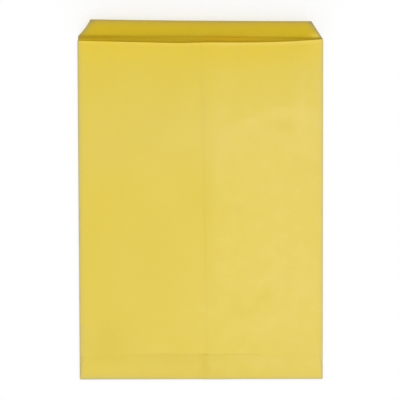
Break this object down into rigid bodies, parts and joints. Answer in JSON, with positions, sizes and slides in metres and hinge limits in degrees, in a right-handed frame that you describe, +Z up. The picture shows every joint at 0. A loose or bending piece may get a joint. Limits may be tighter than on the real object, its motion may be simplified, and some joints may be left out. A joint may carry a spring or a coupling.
{
  "type": "laminated pocket envelope",
  "caption": "Flat yellow pocket envelope folded from one laminated paper sheet, with a lapped centre seam, a glued bottom flap and an open closure flap on its short edge.",
  "frame": {"origin": "on the underside of the plain back panel, in the middle of the pocket", "axes": "+X across the pocket to the right of the seam side, +Y along the pocket from the bottom fold to the closure flap, +Z up, out of the seam side"},
  "size_m": [0.254, 0.3723, 0.0199],
  "materials": {
    "laminated_paper": "satin"
  },
  "bodies": {
    "root": {"envelope": "laminated_paper"}
  },
  "joints": []
}
